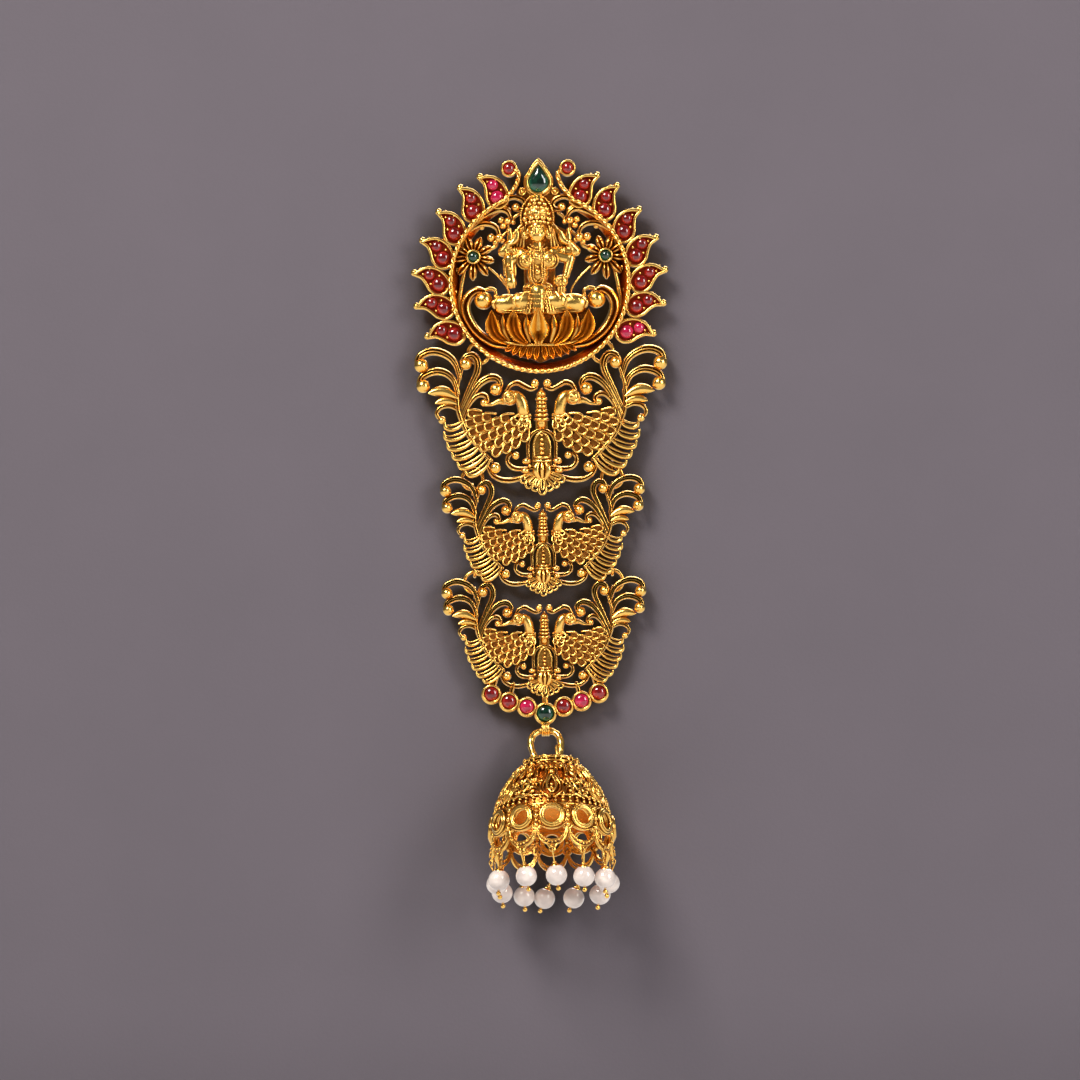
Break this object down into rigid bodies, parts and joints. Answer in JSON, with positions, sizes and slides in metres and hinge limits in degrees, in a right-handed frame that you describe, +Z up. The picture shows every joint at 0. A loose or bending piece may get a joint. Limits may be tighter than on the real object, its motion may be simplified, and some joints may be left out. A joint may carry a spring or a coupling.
{
  "type": "jadanagam braid ornament",
  "caption": "Braid ornament: stone-set round medallion with a seated figure, linked peacock plaques, a ruby row and a swinging jhumka bell fringed with pearls.",
  "frame": {"origin": "middle of the hair clip's gripping face, behind the medallion", "axes": "+Z up along the braid, the ornament's front towards -Y, +X to the viewer's right when seen from the front"},
  "size_m": [0.0488, 0.0265, 0.1432],
  "materials": {
    "gold": "polished antique gold with darker recesses",
    "ruby": "polished cabochon, dark translucent red",
    "emerald": "polished cabochon, dark translucent green",
    "pearl": "soft lustre"
  },
  "bodies": {
    "ornament": {"medallion": "gold", "seated_figure": "gold", "crown_emerald": "emerald", "flower_emerald_left": "emerald", "flower_emerald_right": "emerald", "curl_ruby_left": "ruby", "curl_ruby_right": "ruby", "mango_rubies_left_1": "ruby", "mango_rubies_left_2": "ruby", "mango_rubies_left_3": "ruby", "mango_rubies_left_4": "ruby", "mango_rubies_left_5": "ruby", "mango_rubies_left_6": "ruby", "mango_rubies_left_7": "ruby", "mango_rubies_right_1": "ruby", "mango_rubies_right_2": "ruby", "mango_rubies_right_3": "ruby", "mango_rubies_right_4": "ruby", "mango_rubies_right_5": "ruby", "mango_rubies_right_6": "ruby", "mango_rubies_right_7": "ruby", "peacock_plaque_upper": "gold", "peacock_plaque_middle": "gold", "peacock_plaque_lower": "gold", "row_ruby_left_1": "ruby", "row_ruby_left_2": "ruby", "row_ruby_left_3": "ruby", "row_ruby_right_1": "ruby", "row_ruby_right_2": "ruby", "row_ruby_right_3": "ruby", "row_emerald": "emerald", "hair_clip": "gold", "jump_ring_1": "gold", "jump_ring_2": "gold", "jump_ring_3": "gold", "jump_ring_4": "gold", "jump_ring_5": "gold", "jump_ring_6": "gold"},
    "jhumka": {"jhumka_bell": "gold", "pearl_1": "pearl", "pearl_2": "pearl", "pearl_3": "pearl", "pearl_4": "pearl", "pearl_5": "pearl", "pearl_6": "pearl", "pearl_7": "pearl", "pearl_8": "pearl", "pearl_9": "pearl", "pearl_10": "pearl", "pearl_11": "pearl", "pearl_12": "pearl", "pearl_pins": "gold"}
  },
  "joints": [
    {"name": "bell_swing", "type": "hinge", "parent": "ornament", "child": "jhumka", "pos_m": [0, -0.0028, -0.08985], "axis": [-1, 0, 0], "range_deg": [0, 45]}
  ]
}
